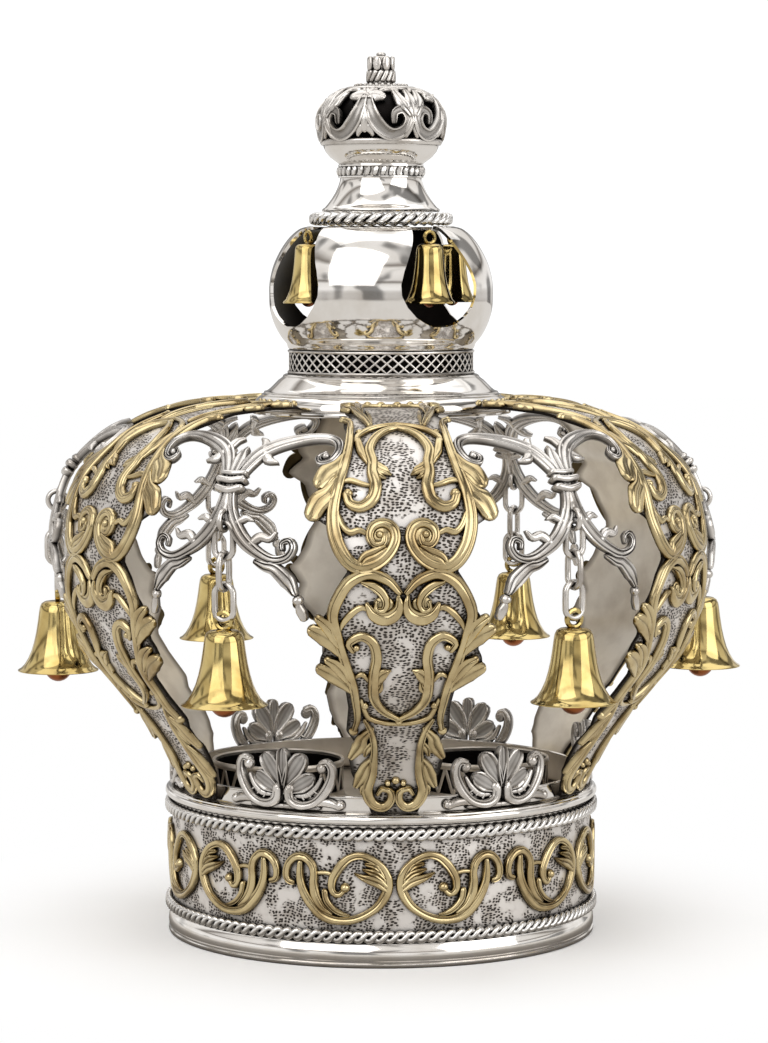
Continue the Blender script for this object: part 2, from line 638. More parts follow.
# Half the width of the arm's plate at each height, both in millimetres.
ARM_EDGE = [
    (0, 10), (5, 12), (11, 14.7), (14, 17.2), (17, 17.6), (20.6, 19), (30.5, 20.6), (34, 18.2),
    (40, 18.5), (46, 22), (61, 21.6), (71, 23), (78, 27.5), (85, 34.5), (89, 34), (93, 32),
    (98, 35), (102, 38), (105, 34.5), (112, 30), (120, 27.6), (127, 23), (132, 24.5), (139, 28),
    (145, 29.7), (149, 36), (151.6, 38.6), (155, 35), (159, 30.5), (163, 33), (167, 34),
    (171, 29.5), (174, 25.5), (186, 22.5), (200, 21.5), (207, 22.5), (215, 20.7), (222, 18.5),
    (230, 20.5), (236, 20.5), (240, 18.5), (247, 19.5), (253, 18), (DRAWN_LENGTH, 15)]


def make_arm_plates():
    """The sheet of one arm, struck from the front, with a dark margin and a plain dull back."""
    across, along = 30, 149  # faces of the grid
    margin = 2.9  # millimetres over which the dark at the edge fades
    heights = np.linspace(0, DRAWN_LENGTH, along + 1)
    edge = np.interp(heights, *np.array(ARM_EDGE).T)
    plate = begun(bpy.ops.mesh.primitive_grid_add, x_subdivisions=across, y_subdivisions=along, size=2,
                  calc_uvs=False)
    flat = []
    hollow = []
    for vertex in plate.data.vertices:
        row = round((vertex.co.y + 1) / 2 * along)
        u = vertex.co.x * edge[row]
        flat.append((u, heights[row], 0.0))
        hollow.append(min(1.0, max(0.0, 1.35 - (edge[row] - abs(u)) / margin)))
    plate.data.vertices.foreach_set("co", (dome.place(np.array(flat)) * MM).ravel())
    shade = plate.data.attributes.new("hollow", "FLOAT", "POINT")
    shade.data.foreach_set("value", hollow)
    layer = plate.data.uv_layers.new(name="flat")
    for loop in plate.data.loops:
        u, v, _ = flat[loop.vertex_index]
        layer.data[loop.index].uv = (u / UV_UNIT, v / UV_UNIT)
    clad(plate, punched_arm, back_silver, cast_silver)
    use(plate, "SOLIDIFY", thickness=1.2 * MM, offset=-1, material_offset=1, material_offset_rim=2)
    settle(plate, "arm_sheet", 50)
    repeat(plate, "arm_plate", ARMS)


def make_arm_gilding():
    """The gilt scrollwork of one arm: upper and lower pairs of C-scrolls, frames, leaves and beads."""
    art = Casting(swell=1.15)
    art.stroke(
        [(21.6, 210), (19.6, 206), (20.2, 196), (21.5, 184), (24, 172.8), (27.8, 158), (29, 147.5),
         (27, 138), (22.7, 131), (17, 128.4), (10, 130.6), (4.9, 135.6), (2.9, 141), (4.4, 145.6),
         (8.4, 147.4), (12.4, 145.6), (13.8, 141.6), (11.8, 138), (8.4, 138.4), (7.6, 141.4)],
        (1.2, 1.3, 1.5, 1.7, 1.9, 2.1, 2.1, 2.2, 2.4, 2.6, 2.7, 2.6, 2.4, 2.2, 2.1, 2.0, 1.8, 1.5, 1.2),
        2.4)
    art.ball((22.4, 211), 1.9, 2.2)
    art.ball((8.6, 141.4), 5.6, 1.9)
    art.ball((9.6, 142.2), 2.0, 3.4)
    art.leaf([(18.4, 129.6), (15.6, 132.6), (11.8, 134.2), (8, 136.4)], (1.0, 1.8, 1.9, 1.2), 2.7)
    art.stroke([(14.6, 142.6), (18.2, 144.2), (22, 143.2), (25.2, 146.4), (27.4, 153)],
               (0.9, 1.3, 1.4, 1.3, 0.8), 2.1, RIB)
    art.leaf([(22.5, 180), (26, 174), (30.5, 170), (33.2, 165.6)], (1.2, 2.6, 3.3, 2.8), 2.2)
    art.leaf([(26.6, 166), (30, 160), (34.5, 156), (37.0, 151.6)], (1.3, 2.5, 3.3, 2.8), 2.2)
    art.stroke(
        [(-0.6, 201.5), (4.5, 198.4), (9.2, 192.5), (12.6, 183.7), (11.6, 176), (11.9, 170),
         (10.8, 163.6), (12.4, 157.6), (17, 154.2), (21.6, 155.4), (23, 159)],
        (1.1, 1.3, 1.6, 1.8, 2.0, 2.1, 2.2, 2.4, 2.4, 2.1, 1.7), 2.4)
    art.ball((22.4, 160), 2.3, 2.8)
    art.leaf([(12.2, 176), (9.6, 172.6), (7, 171), (4.4, 169.4)], (1.1, 2.2, 1.9, 0.4), 2.1)
    art.leaf([(11.4, 171), (8.6, 168.4), (6.8, 167.6)], (0.8, 1.3, 0.4), 2.0)
    art.stroke([(-0.6, 205.4), (6, 203.4), (12, 199.6), (17, 193.4), (18, 189)],
               (1.1, 1.2, 1.3, 1.3, 1.0), 2.2, RIB)
    art.ball((16.2, 196.2), 2.0, 2.5)
    art.stroke([(25, 165.5), (21, 166.2), (16.6, 164.6), (12.6, 163.6)], (0.8, 1.3, 1.1, 0.8), 2.0, RIB)
    art.leaf([(17.2, 190), (16, 182), (13.4, 175)], (1.2, 1.5, 0.5), 2.0, RIB)
    art.stroke([(11.6, 204), (13.4, 212), (15.6, 222), (17.2, 231), (20.4, 233.6), (21.6, 229.8),
                (19.4, 227.6)], (1.0, 1.4, 1.6, 1.6, 1.6, 1.4, 1.0), 2.4)
    art.stroke([(14.2, 222), (14.6, 232), (14.2, 242), (16.4, 248.6), (20, 248), (20.6, 243.6),
                (18.4, 241.8)], (0.9, 1.5, 1.6, 1.8, 1.8, 1.5, 1.0), 2.6)
    art.stroke([(10.6, 206), (10.8, 218), (11.4, 230)], (0.6, 1.0, 0.5), 1.6, RIB)
    art.stroke([(-0.6, 254.8), (6, 255.6), (12, 254.6), (16.4, 251.2)], (1.1, 1.2, 1.2, 1.0), 1.8, RIB)
    for u, size in ((3.6, 2.5), (9.4, 2.3), (14.2, 2.0)):
        art.ball((u, 255.8), size, 2.6, squeeze=0.75)
    art.stroke(
        [(1.6, 118.4), (6.6, 123.4), (14.4, 126.0), (22, 122.7), (27, 115.5), (29.2, 108), (27.2, 99),
         (24, 87.6), (20.3, 76), (18.4, 64), (17.6, 55), (18.6, 48)],
        (1.3, 2.1, 2.3, 2.3, 2.2, 2.0, 1.9, 1.9, 1.8, 1.7, 1.5, 1.1), 2.4)
    art.ball((18.9, 46.6), 2.2, 2.5)
    art.stroke(
        [(1.9, 116.6), (1.7, 111.8), (4.4, 108.2), (8.4, 107.2), (12.4, 109.2), (14.8, 113)],
        (0.8, 1.9, 2.8, 3.0, 2.4, 0.9), 2.7)
    art.ball((7.8, 112), 4.9, 1.8)
    art.stroke(
        [(17, 122.4), (12.6, 121), (8.8, 118), (7.0, 114), (8.4, 110.8), (11.2, 111.4), (10.8, 114)],
        (0.7, 1.6, 1.9, 1.7, 1.5, 1.2, 0.8), 3.2)
    art.stroke([(13.4, 110), (17, 111.6), (20.6, 109.6), (24.6, 105), (26.4, 101)],
               (0.7, 1.2, 1.4, 1.2, 0.7), 2.0, RIB)
    art.leaf([(25, 91), (28.4, 95.8), (32.4, 98.8), (36.8, 101)], (1.6, 2.8, 3.1, 2.2), 2.2)
    art.leaf([(26.2, 95), (29, 100.4), (32, 104), (35, 106.4)], (1.2, 2.2, 2.2, 1.4), 2.5)
    art.leaf([(20.6, 73), (24.6, 77.6), (28.6, 80.8), (33, 83.2)], (1.5, 2.6, 3.0, 2.2), 2.2)
    art.leaf([(22.2, 78), (25, 83), (28, 86.2), (30.8, 88)], (1.1, 2.1, 2.1, 1.3), 2.5)
    art.stroke(
        [(20.6, 92.5), (22.2, 96), (17, 99), (12.2, 95.8), (10.6, 89.3), (11.4, 82.7), (11.6, 76),
         (10.8, 67), (6.8, 60), (-0.6, 54)],
        (1.1, 1.7, 1.9, 2.0, 2.0, 2.1, 2.1, 1.8, 1.4, 1.0), 2.4)
    art.ball((19.2, 93.8), 1.8, 2.5)
    art.leaf([(12, 76), (9.8, 79.6), (7.4, 81.8), (4.8, 83)], (1.3, 2.4, 2.0, 0.4), 2.1)
    art.leaf([(11.4, 71), (9.2, 73.6), (8.4, 76.4)], (0.8, 1.5, 0.6), 2.1)
    art.stroke([(20.2, 79), (16.4, 81), (13, 77)], (0.7, 1.1, 0.8), 2.0, RIB)
    art.stroke([(16.4, 66), (14.8, 60), (12.6, 55.2), (6.6, 52.2), (-0.6, 51.4)],
               (0.9, 1.1, 1.2, 1.1, 1.0), 2.1, RIB)
    art.ball((14.6, 62.8), 1.9, 2.4)
    art.ball((0, 53), 1.7, 2.5, sides=(1,))
    art.stroke(
        [(14.4, 54), (11.4, 46), (9.9, 36), (10.4, 22), (12.2, 12), (9.6, 5.2), (4.9, 3.4), (1.7, 7),
         (2.2, 12), (5.8, 13), (7.6, 10.2)],
        (0.8, 1.2, 1.4, 1.5, 1.9, 2.2, 2.3, 2.1, 1.8, 1.5, 0.9), 2.4)
    art.leaf([(11.6, 48), (15, 42.6), (16, 37.6), (19.4, 31.4)], (1.0, 1.8, 2.4, 1.2), 2.1)
    art.leaf([(10.8, 40), (13, 36), (13.6, 32)], (0.8, 1.5, 0.6), 2.1)
    art.leaf([(10.6, 30), (13, 25), (14.6, 20), (17, 14.6)], (1.0, 1.9, 2.2, 1.0), 2.1)
    art.leaf([(11.6, 17), (13.6, 13.6), (14.2, 10.4)], (0.7, 1.4, 0.7), 2.1)
    for u, v, size in ((0, 17.2, 1.9), (3.3, 16, 1.5)):
        art.ball((u, v), size, 2.2, sides=(1, -1) if u else (1,))
    gilding = clad(art.placed(dome.place), gilt_silver)
    settle(gilding, "arm_gilding", 50)
    repeat(gilding, "arm_scrollwork", ARMS)


def make_brackets():
    """The open castings between the arms, each with a knot, two pairs of scrolls and a bell loop."""
    art = Casting(back=1.2, swell=1.18)
    art.stroke(
        [(0.6, 160), (4.6, 173), (8.4, 180.4), (15, 186), (24.4, 190), (32.5, 190.8), (38.6, 188),
         (41.4, 182.5), (40.6, 176.6), (36.6, 174.8), (34.2, 177.8), (36.2, 180.6)],
        (1.6, 2.3, 2.8, 3.1, 3.1, 2.9, 2.4, 1.8, 1.5, 1.4, 1.2, 0.9), 2.8, FLUTED)
    art.ball((37.2, 178.6), 1.8, 3.0)
    art.leaf([(9.6, 180.6), (12.6, 176.6), (16.8, 175.4)], (1.4, 1.6, 0.4), 2.2, RIB)
    art.leaf([(8.6, 182.4), (7.4, 187), (4.4, 190)], (1.2, 1.4, 0.5), 2.2, RIB)
    art.stroke(
        [(0.6, 168), (1.6, 154.4), (4.8, 145.8), (10.4, 138.5), (18, 133.2), (24.4, 131), (30, 132.4),
         (32.2, 136.2), (30.4, 139.4), (27.2, 138.2), (27.4, 135.8)],
        (1.4, 2.0, 2.4, 2.6, 2.7, 2.5, 2.0, 1.7, 1.4, 1.2, 0.9), 2.8, FLUTED)
    art.leaf([(13, 137), (17, 140.6), (21.4, 139.8), (23.6, 142.4)], (1.2, 1.5, 1.2, 0.5), 2.2, RIB)
    art.leaf([(5.4, 146), (9.6, 148.4), (12.8, 147.6)], (1.0, 1.3, 0.4), 2.2, RIB)
    art.stroke([(16.4, 130.2), (20.4, 128.4), (24.8, 127.2), (30.4, 122), (33, 117.6)],
               (1.1, 2.0, 2.6, 2.9, 1.3), 2.8, FLUTED)
    art.ball((34.1, 114.2), 2.4, 3.0)
    art.stroke([(34.4, 112.4), (35.2, 109.5), (36, 107)], (1.2, 1.9, 1.5), 2.4, RIB)
    art.stroke([(-5.4, 161), (0, 159.8), (5.4, 161)], (1.3, 1.5, 1.3), 4.2, RIB, (1,))
    art.stroke([(-5.6, 164.6), (0, 163.8), (5.6, 164.6)], (1.3, 1.5, 1.3), 4.6, RIB, (1,))
    art.stroke([(-5.0, 168), (0, 167.4), (5.0, 168)], (1.1, 1.3, 1.1), 4.0, RIB, (1,))
    art.leaf([(0, 168), (0, 175), (0.6, 183)], (1.6, 2.2, 0.5), 3.0, PETAL, (1,))
    art.leaf([(0, 161), (0, 153), (0, 147)], (2.2, 1.9, 0.5), 2.6, RIB, (1,))
    body = art.placed(dome.place)
    loop_radius, loop_height = 4.05, 196.6
    loop = wire_ring(
        loop_radius, 2.4, (0, -HANG_RADIUS, loop_height), (0, math.pi / 2, 0), segments=(28, 10))
    knot = Vector(dome.place(np.array([(0.0, 158.0, 1.4)]))[0])
    loop_top = Vector((0, -HANG_RADIUS, loop_height + loop_radius))
    stem_radius = 1.4
    spokes = [math.tau * k / 8 for k in range(8)]
    rows = []
    for share in np.linspace(0, 1, 6):
        middle = knot.lerp(loop_top, share)
        rows.append([(middle.x + math.cos(spoke) * stem_radius, middle.y,
                      middle.z + math.sin(spoke) * stem_radius) for spoke in spokes])
    stem = Casting()
    stem.rings(rows, [0.2] * len(spokes))
    bracket = clad(joined([body, loop, stem.placed()]), cast_silver)
    settle(bracket, "silver_bracket", 50)
    repeat(bracket, "bracket", ARMS, HALF_STEP)


def make_chains():
    """Three oval links to each bell, each turned a quarter from the one before."""
    stretch = 3.1  # how far each half of a round link is drawn out to make it oval
    links = []
    for index, height in enumerate((188.3, 175.4, 162.4)):
        link = wire_ring(
            4.5, 2.7, (0, 0, 0), (math.pi / 2, 0, index * math.pi / 2), segments=(32, 10))
        for vertex in link.data.vertices:
            if abs(vertex.co.z) > 0.01 * MM:
                vertex.co.z += math.copysign(stretch * MM, vertex.co.z)
        link.data.transform(Matrix.Translation((0, -HANG_RADIUS * MM, height * MM)))
        links.append(link)
    chain = clad(joined(links), cast_silver)
    settle(chain, "silver_links", 60)
    repeat(chain, "chain", ARMS, HALF_STEP)


def bell_shape(profile, hang_radius, eye_radius, wire, top, clapper_radius, clapper_z):
    """A turned bell with its eye, and the clapper in it, hung at that radius."""
    shell = lathe(profile, 56)
    eye = wire_ring(eye_radius, wire, (0, 0, top + eye_radius), (math.pi / 2, 0, 0), segments=(24, 8))
    bell = joined([shell, eye])
    rod = 0.7
    clapper = lathe(
        [(0, clapper_z - clapper_radius)]
        + [(clapper_radius * math.sin(turn), clapper_z - clapper_radius * math.cos(turn))
           for turn in np.linspace(0.2, math.pi - 0.25, 12)]
        + [(rod, clapper_z + clapper_radius * 1.05), (rod, top - 2.0), (0, top - 2.0)], 32)
    shift = Matrix.Translation((0, -hang_radius * MM, 0))
    bell.data.transform(shift)
    clapper.data.transform(shift)
    return bell, clapper


def hang(bell, clapper, bell_name, clapper_name, node_base, count, first):
    """count of the bell and its clapper round the axis, each pair standing for one node."""
    settle(clad(bell, bell_brass), bell_name, 35)
    settle(clad(clapper, clapper_copper), clapper_name, 60)
    repeat(bell, node_base, count, first)
    repeat(clapper, node_base, count, first)


def make_bells():
    """The large bells under the chains and the small ones in the globe's openings."""
    outside = [
        (0, 151), (3.4, 150.95), (5.8, 150.6), (7.3, 149.7), (8.1, 148.2), (8.5, 146), (9.1, 141.5),
        (9.9, 136.5), (10.9, 132), (12.1, 128), (13.6, 124.6), (15.3, 121.8), (16.9, 120.2),
        (18.0, 119.6), (18.3, 119.3), (18.2, 119.0)]
    inside = [(17.4, 119.0), (16.2, 119.9), (14.4, 121.6), (12.6, 124.6), (11.0, 128.2),
              (9.8, 132.2), (8.8, 137), (7.9, 142), (7.2, 147), (6.2, 148.6), (4.6, 149.4), (0, 149.6)]
    bell, clapper = bell_shape(
        outside + inside, HANG_RADIUS, eye_radius=3.6, wire=2.4, top=151.0, clapper_radius=6.2,
        clapper_z=120.2)
    hang(bell, clapper, "brass_bell", "bell_clapper", "bell", ARMS, HALF_STEP)
    outside = [
        (0, 312.2), (3.0, 312.15), (4.7, 311.8), (5.6, 311), (5.95, 309.6), (6.2, 306.6), (6.6, 302.6),
        (7.1, 298.6), (7.7, 294.8), (8.5, 291.6), (9.4, 289.2), (10.4, 287.4), (11.2, 286.6),
        (11.4, 286.1), (11.3, 285.7)]
    inside = [(10.7, 285.7), (9.6, 287.2), (8.4, 289.8), (7.4, 293), (6.6, 297), (6.0, 301.6),
              (5.6, 306), (5.0, 309.6), (3.6, 310.8), (0, 311.2)]
    bell, clapper = bell_shape(
        outside + inside, 39.0, eye_radius=2.7, wire=1.6, top=312.2, clapper_radius=3.4,
        clapper_z=287.4)
    hang(bell, clapper, "small_bell", "small_clapper", "globe_bell", OPENINGS,
         math.radians(FIRST_OPENING))


def make_shells():
    """The cast shells on the ledge between the arms: a fan of five lobes in a pair of C-scrolls."""
    art = Casting(back=0.9)
    art.stroke([(2.5, 8), (6, 10), (9.4, 12), (10.7, 12.8)], (1.3, 2.9, 4.3, 4.0), 2.0, LOBE)
    art.stroke([(0.9, 10.5), (3.4, 15), (6.1, 19), (7.2, 20.6)], (1.5, 3.1, 4.5, 4.3), 2.6, LOBE)
    art.stroke([(0, 10), (0, 16), (0, 22), (0, 24)], (1.3, 2.5, 3.1, 2.8), 3.1, LOBE, (1,))
    art.stroke(
        [(2.8, 8.2), (3.4, 4.6), (6.2, 2.6), (10.4, 2.3), (15.2, 4.2), (19.4, 8.8), (22, 14.2),
         (22.3, 18.4), (20.4, 21.3), (17.8, 20.8)],
        (2.2, 2.3, 2.1, 1.9, 2.0, 2.3, 2.3, 2.1, 1.8, 1.4), 2.8)
    art.ball((2.9, 9), 2.6, 2.8, squeeze=1.3)
    art.ball((17.8, 18.8), 2.7, 3.0)
    art.stroke([(12, 1.8), (17, 3.8), (22, 3.4), (25.4, 1.9)], (1.0, 1.9, 2.0, 1.4), 2.2, RIB)
    art.ball((25.6, 2.7), 2.3, 2.4)
    art.stroke([(6, 6), (11, 6.6), (15, 10), (17.4, 14)], (1.0, 1.5, 1.5, 0.9), 1.6, RIB)
    art.stroke([(0.4, 1.3), (8, 1.2), (16, 1.2)], (1.2, 1.3, 1.0), 1.6, RIB)
    for k in range(4):
        art.stroke([(5.6 + 2.9 * k, 5.4 + 1.1 * k), (6.6 + 3.1 * k, 3.4 + 1.4 * k)],
                   (0.6, 0.6), 2.8, RIB)
    shell_foot = np.array((0, LEDGE + 0.4, 0))
    shell = art.placed(lambda flat: on_cylinder(93.95)(flat + shell_foot))
    settle(clad(shell, cast_silver), "cast_shell", 50)
    repeat(shell, "shell", ARMS, HALF_STEP)


# Roller floor, canopy and globe

def lattice(radius, low, high, cells, rows, thick, deep):
    """Crossing strips between two edges, as a pierced gallery, rows of openings high."""
    art = Casting(back=deep / 2)
    width = math.tau * radius / cells
    run = width * rows / 2
    for cell in range(cells):
        start = cell * width - math.pi * radius
        for lean in (1, -1):
            path = [(start, low), (start + lean * run / 2, (low + high) / 2), (start + lean * run, high)]
            art.stroke(path, (thick, thick, thick), deep / 2, RIB, (1,), (high - low) / 6)
    return art.placed(on_cylinder(radius))


def make_roller_floor():
    """The floor with its two roller sleeves, each with a pierced zigzag band under its rim."""
    plate = lathe([(0, 57.1), (93.7, 57.1), (93.7, 59.1), (0, 59.1)], 96)
    for side in (-1, 1):
        cutter = begun(
            bpy.ops.mesh.primitive_cylinder_add, vertices=72, radius=30.3 * MM, depth=8 * MM,
            location=(side * SLEEVE_REACH * MM, 0, 58 * MM))
        use(plate, "BOOLEAN", operation="DIFFERENCE", object=cutter)
        bpy.data.objects.remove(cutter)
    settle(clad(plate, sheet_silver), "roller_floor", 30, "roller_plate")
    for side, node in ((-1, "roller_sleeve_left"), (1, "roller_sleeve_right")):
        tube = lathe(
            [(28.6, 45.1), (30, 45.1), (30, 59.4), (33, 59.4), (33, 60.0), (31.2, 60.4), (30.4, 61.4),
             (30, 62.4), (30, 64.2), (28.8, 64.2), (28.6, 62)], 72, shut=True)
        rim = lathe([(28.8, 75.2), (30, 75.2), (30.2, 76), (30.2, 77.4), (29.9, 78.1), (29.2, 78.1),
                     (28.7, 77.6)], 72, shut=True)
        band = lattice(29.4, 63.8, 75.6, cells=22, rows=1, thick=0.8, deep=0.9)
        lining = lathe([(28.5, 63.0), (28.7, 63.0), (28.7, 76.4), (28.5, 76.4)], 72, shut=True)
        silver = [clad(part, sheet_silver) for part in (tube, rim, band)]
        sleeve = joined([*silver, clad(lining, black_silver)])
        sleeve.data.transform(Matrix.Translation((side * SLEEVE_REACH * MM, 0, 0)))
        settle(sleeve, f"{node}_tube", 35, node)


def make_canopy():
    """The turned canopy that holds the arms' ends, and the pierced gallery on it."""
    canopy = lathe(
        [(44, 235.7), (58.2, 235.7), (58.9, 236.1), (59, 236.9), (58.6, 237.5), (57.6, 238),
         (57.6, 238.4), (58.0, 239.0), (57.8, 240.2), (57.0, 241.8), (55.6, 243.2), (54.4, 243.9),
         (54.4, 244.4), (53.2, 245.0), (53.2, 245.6), (51.8, 246.0), (50.2, 247.2), (48.4, 249.0),
         (46.6, 250.8), (45.2, 251.8), (44.6, 252.3), (44.6, 252.8), (43.8, 253.4), (42.6, 253.6),
         (41.4, 253.6), (41.4, 252.4), (44.5, 250.0), (48.5, 245.8), (52.5, 242), (55.5, 239),
         (55.8, 237.4), (44, 237.4)], 160, shut=True)
    settle(clad(canopy, polished_silver), "canopy_dome", 28, "canopy")
    low = lathe([(40.6, 253.9), (42.4, 253.9), (42.6, 254.4), (42.3, 254.9), (40.9, 254.9)], 144, shut=True)
    high = lathe([(40.9, 263.3), (42.2, 263.3), (42.5, 263.8), (42.3, 264.3), (40.6, 264.3)], 144, shut=True)
    strips = lattice(41.6, 254.6, 263.6, cells=50, rows=4, thick=0.42, deep=1.1)
    lining = lathe([(40.2, 254.4), (40.5, 254.4), (40.5, 263.8), (40.2, 263.8)], 96, shut=True)
    silver = [clad(part, cast_silver) for part in (low, high, strips)]
    gallery = joined([*silver, clad(lining, black_silver)])
    settle(gallery, "pierced_gallery", 45, "lattice_gallery")


# Half the angle of an opening in the globe, in degrees, at each height.
EGG = [(275, 3), (276.5, 9), (279.5, 15), (284, 20), (289, 23), (294, 23.4), (300, 21.5), (306, 18.4),
       (312, 15), (318, 12.4), (321.5, 11.6)]
GLOBE_FOOT = 264.6
GLOBE_TOP = 320.1


def from_opening(spot):
    """Degrees round the globe from the middle of the nearest opening."""
    step = 360 / OPENINGS
    azimuth = math.degrees(math.atan2(spot.x, -spot.y))
    return (azimuth - FIRST_OPENING + step / 2) % step - step / 2


def make_globe():
    """The polished globe with its egg-shaped openings."""
    outside = [(41.6, GLOBE_FOOT), (42.4, 265.6), (42.6, 266.8), (43.6, 268.2), (45.4, 270.4),
               (47.7, 274.5), (49.4, 279), (50.5, 284), (50.7, 290), (50.6, 294), (50.0, 298),
               (48.6, 303), (46.3, 308), (43.6, 312.4), (40.6, 316), (36.8, 319), (33, GLOBE_TOP)]
    globe = lathe([tuple(point) for point in smooth(outside, 72)], 192)
    doomed = []
    for face in globe.data.polygons:
        centre = face.center / MM
        reach = np.interp(centre.z, *np.array(EGG).T, left=0, right=0)
        doomed.append(abs(from_opening(centre)) < reach)
    bpy.ops.object.mode_set(mode="EDIT")
    bpy.ops.mesh.select_mode(type="FACE")
    bpy.ops.mesh.select_all(action="DESELECT")
    bpy.ops.object.mode_set(mode="OBJECT")
    globe.data.polygons.foreach_set("select", doomed)
    bpy.ops.object.mode_set(mode="EDIT")
    bpy.ops.mesh.delete(type="FACE")
    bpy.ops.mesh.select_mode(type="VERT")
    bpy.ops.object.mode_set(mode="OBJECT")
    smooth_openings(globe.data)
    clad(globe, polished_silver, black_silver)
    use(globe, "SOLIDIFY", thickness=1.4 * MM, offset=-1, material_offset=1)
    settle(globe, "polished_globe", 50, "globe")


def smooth_openings(mesh):
    """Moves the saw-tooth edge of each opening onto its egg outline."""
    uses = {}
    for face in mesh.polygons:
        for key in face.edge_keys:
            uses[key] = uses.get(key, 0) + 1
    rim = {index for key, count in uses.items() if count == 1 for index in key}
    for index in rim:
        vertex = mesh.vertices[index]
        spot = vertex.co / MM
        if spot.z < GLOBE_FOOT + 0.4 or spot.z > GLOBE_TOP - 0.1:
            continue  # the globe's own foot and mouth
        off = from_opening(spot)
        reach = np.interp(spot.z, *np.array(EGG).T, left=2, right=11.6)
        if abs(off) > 4:  # the tips, which lie nearer, stay where they are
            turn = math.radians(math.copysign(reach, off) - off)
            vertex.co = Matrix.Rotation(turn, 3, "Z") @ vertex.co


# Top

def make_neck():
    """The turned neck and cup under the bud, with a ring of leaning beads."""
    neck = lathe(
        [(22, 326.7), (26.4, 326.7), (26.8, 327.2), (26.4, 328.0), (25.4, 328.6), (24.2, 330),
         (22.4, 332.4), (20.8, 335), (19.4, 338), (18.6, 340.6), (18.5, 341.8), (19.3, 342.1),
         (19.3, 342.6), (18.6, 343), (18.6, 346.6), (19.3, 347.0), (19.3, 347.6), (19.0, 348.2),
         (20.6, 349.4), (23.0, 351.2), (25.0, 353.6), (26.0, 355.8), (26.0, 356.7), (24.8, 356.7),
         (23.8, 354.4), (21.4, 351.8), (18.6, 350), (17.2, 348), (17.2, 340), (19.6, 334.6),
         (22, 330)], 128, shut=True)
    beads = []
    count = 34
    for index in range(count):
        bead = begun(bpy.ops.mesh.primitive_uv_sphere_add, segments=8, ring_count=6, radius=1.0)
        turn = Matrix.Rotation(math.tau * index / count, 4, "Z")
        lean = Matrix.Rotation(math.radians(18), 4, "Y")
        bead.data.transform(turn @ Matrix.Translation((0, -18.9 * MM, 344.8 * MM)) @ lean
                            @ Matrix.Diagonal((1.35 * MM, 1.3 * MM, 2.3 * MM, 1)))
        beads.append(bead)
    clad(neck, polished_silver)
    bead_ring = clad(joined(beads), rope_silver)
    settle(joined([neck, bead_ring]), "neck_and_beads", 35, "neck_and_cup")


def make_bud():
    """The openwork bud: scroll pairs, leaves, flowers and fans over a blackened lining."""
    wall = np.array([(25.6, 356.9), (27.0, 361), (27.9, 366), (27.6, 370), (26, 373.8), (23, 377),
                     (18.6, 380), (12.5, 381.8)])
    along, path, normal = bent_profile(wall, 60, run_along(wall)[-1])
    drawn_radius = 28  # the drawing is as wide as the bud is here, and narrows above with it
    quarters = 4

    def place(flat):
        s, t, rise = flat.T
        radius, z = read_off(t, along, path)
        out, up = read_off(t, along, normal)
        return around(s / drawn_radius, radius + out * rise, z + up * rise)

    art = Casting(back=0.8, swell=1.42)
    half = drawn_radius * math.pi / quarters
    art.stroke([(1.4, 21.5), (1.8, 17), (4.2, 11), (8.4, 6), (13.2, 4.2), (18, 6.4), (19.8, 11),
                (17.2, 14.6), (13.4, 13.4), (13, 10)],
               (1.1, 1.9, 2.3, 2.4, 2.2, 2.0, 1.8, 1.6, 1.3, 0.9), 2.0, CHANNEL)
    art.ball((0, 22.4), 1.4, 2.6, (1,))
    art.leaf([(1.2, 22.4), (4.4, 23), (7.8, 22)], (1.2, 2.4, 1.2), 1.8)
    art.leaf([(0.8, 23.4), (2.6, 27), (3.4, 30)], (1.0, 1.8, 0.8), 1.6)
    art.leaf([(0, 16), (0, 11), (0, 6.4)], (0.8, 1.6, 0.9), 1.6, RIB, (1,))
    art.leaf([(0.4, 8.6), (2.4, 6.6), (3.4, 4.2)], (0.6, 1.3, 0.6), 1.4, RIB)
    art.stroke([(5.2, 24), (9, 28), (14, 28.6), (17.4, 26.4)], (0.8, 1.2, 1.3, 0.9), 1.6, RIB)
    art.leaf([(half, 12.6), (half, 19), (half, 25)], (0.9, 1.9, 0.9), 2.2, PETAL, (1,))
    art.leaf([(half - 1.4, 13), (half - 4.8, 19), (half - 6.8, 24.6)], (0.9, 1.8, 1.0), 1.9)
    art.leaf([(half - 0.6, 11), (half - 1.8, 7), (half - 3, 3.6)], (0.9, 1.2, 0.7), 1.5, RIB)
    art.ball((half, 9.6), 1.6, 2.0, (1,))
    for rim in (1.0, 31.2):
        art.stroke([(-half, rim), (0, rim), (half, rim)], (1.1, 1.1, 1.1), 1.6, RIB, (1,))
    pieces = [art.placed(place) for _ in range(quarters)]
    for index, piece in enumerate(pieces):
        piece.data.transform(Matrix.Rotation(index * math.tau / quarters, 4, "Z"))
    bud = clad(joined(pieces), cast_silver)
    bud.data.transform(Matrix.Rotation(math.radians(-18.4), 4, "Z"))
    outer, inner = ([(radius - gap, z) for radius, z in smooth(wall, 24)] for gap in (1.9, 2.6))
    lining = clad(lathe(outer + inner[::-1], 64, shut=True), black_silver)
    settle(joined([bud, lining]), "openwork_bud_casting", 50, "openwork_bud")


def spread(count, radius):
    """count places evenly round a cylinder, as distances round it from the front."""
    return [(index - (count - 1) / 2) * math.tau * radius / count for index in range(count)]


